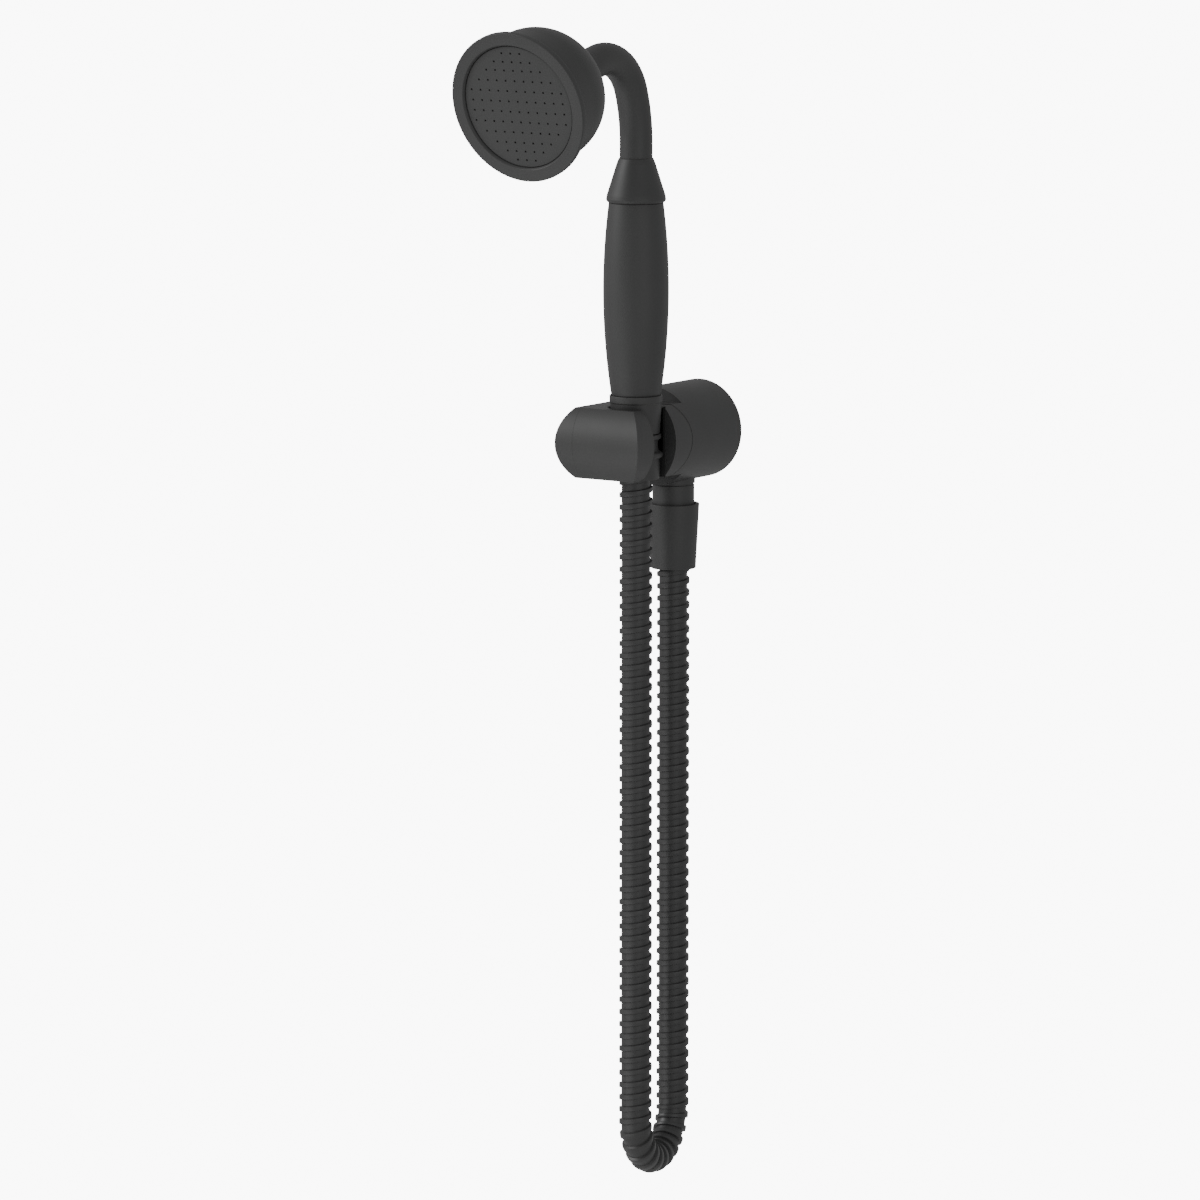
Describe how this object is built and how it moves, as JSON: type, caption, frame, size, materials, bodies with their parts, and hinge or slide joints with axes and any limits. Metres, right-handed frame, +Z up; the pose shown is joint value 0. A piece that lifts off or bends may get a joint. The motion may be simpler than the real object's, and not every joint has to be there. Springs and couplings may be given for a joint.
{
  "type": "handheld shower head",
  "caption": "Handheld shower head with a gooseneck and round spray face, parked in a tilting wall cradle with an outlet elbow and a looped ribbed hose.",
  "frame": {"origin": "centre of the threaded water inlet at the wall plane, on the wall body's axis", "axes": "+Z up, +Y into the wall along the inlet, +X to the right as seen from the room"},
  "size_m": [0.0716, 0.1731, 0.5548],
  "materials": {
    "black_coat": "matt black powder coat",
    "black_plate": "matt black",
    "hose_ribs": "satin black",
    "black_rubber": "matt",
    "plastic": "matt black",
    "steel": "plain",
    "brass": "plain"
  },
  "bodies": {
    "bracket": {"wall_body": "black_coat", "wall_gasket": "black_rubber", "inlet_filter": "plastic", "grub_screw": "steel", "outlet_spigot": "black_coat", "spigot_seal": "black_rubber", "check_valve_body": "plastic", "check_valve_spring": "steel", "tilt_screw": "steel", "spring_washer": "steel", "curved_washer": "steel", "outlet_washer": "black_rubber", "outlet_insert": "brass", "hose_sheath": "hose_ribs", "hose_inner_tube": "black_rubber"},
    "check_valve": {"check_valve_poppet": "plastic"},
    "cradle": {"cradle_body": "black_coat", "cradle_end_cap": "black_coat", "cradle_liner": "plastic"},
    "outlet_nut": {"outlet_hose_nut": "black_coat"},
    "hose_end": {"hose_end_collar": "black_coat", "hose_end_insert": "brass", "hose_end_washer": "black_rubber"},
    "handset": {"conical_nut": "black_coat", "handle_barrel": "black_plate", "handle_water_tube": "plastic", "handle_o_rings": "black_rubber", "flared_collar": "black_coat", "gooseneck": "black_coat", "head_body": "black_plate", "spray_plate": "black_plate", "plate_seal": "black_rubber"}
  },
  "joints": [
    {"name": "cradle_tilt", "type": "hinge", "parent": "bracket", "child": "cradle", "pos_m": [0, -0.066, 0], "axis": [1, 0, 0], "range_deg": [-10, 20], "deforming": ["hose_sheath", "hose_inner_tube"]},
    {"name": "handset_lift", "type": "slide", "parent": "cradle", "child": "hose_end", "axis": [0, 0, 1], "range_m": [0, 0.045], "deforming": ["hose_sheath", "hose_inner_tube"]},
    {"name": "handset_turn", "type": "hinge", "parent": "hose_end", "child": "handset", "pos_m": [0.007, -0.066, 0.005], "axis": [0, 0, 1], "range_deg": [-90, 90]},
    {"name": "outlet_nut_turn", "type": "hinge", "parent": "bracket", "child": "outlet_nut", "pos_m": [0, -0.0233, -0.05], "axis": [0, 0, 1], "continuous": true},
    {"name": "check_valve_open", "type": "slide", "parent": "bracket", "child": "check_valve", "axis": [0, 0, -1], "range_m": [0, 0.002], "stiffness_N_per_m": 150, "springref_m": -0.002, "deforming": ["check_valve_spring"]}
  ]
}
